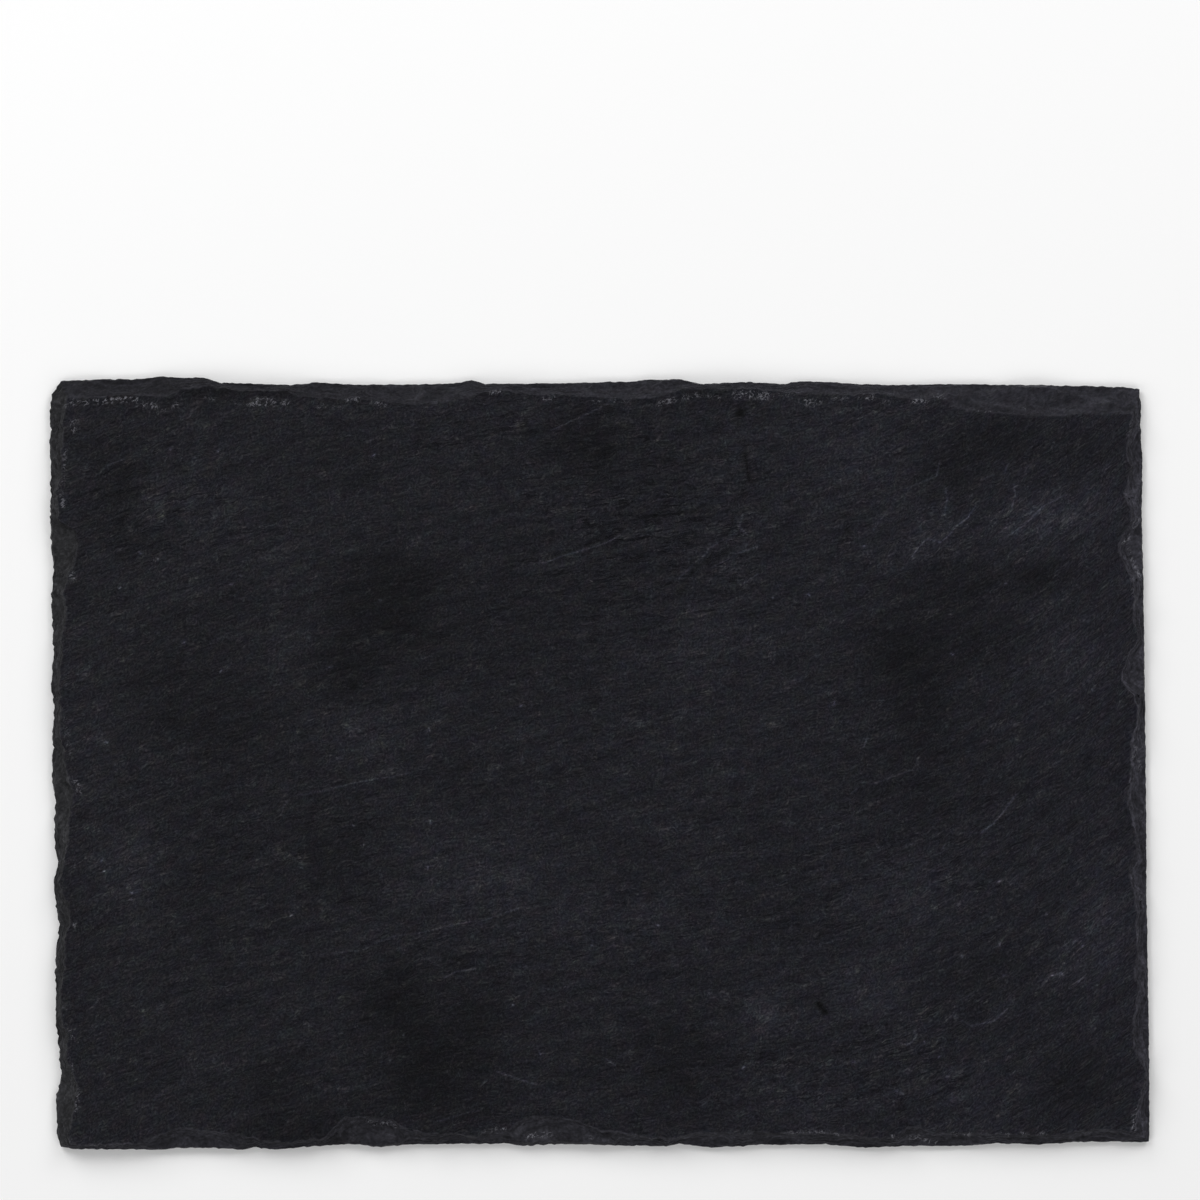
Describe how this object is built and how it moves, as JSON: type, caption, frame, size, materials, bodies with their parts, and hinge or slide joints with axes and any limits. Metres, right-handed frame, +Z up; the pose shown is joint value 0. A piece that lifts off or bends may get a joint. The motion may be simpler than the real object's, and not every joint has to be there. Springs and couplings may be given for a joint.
{
  "type": "slate slab",
  "caption": "Thin rectangular slab of natural split slate with a gently uneven riven face and rough, hammer-dressed edges on all four sides.",
  "frame": {"origin": "under the middle of the slab, on the surface that it lies on", "axes": "+X along the long sides, +Y towards the far long side, +Z up out of the split face"},
  "size_m": [0.3549, 0.2496, 0.0064],
  "materials": {
    "slate": "split along the cleavage, matt, dark blue-grey with lighter chipped edges"
  },
  "bodies": {
    "root": {"slate_slab": "slate"}
  },
  "joints": []
}
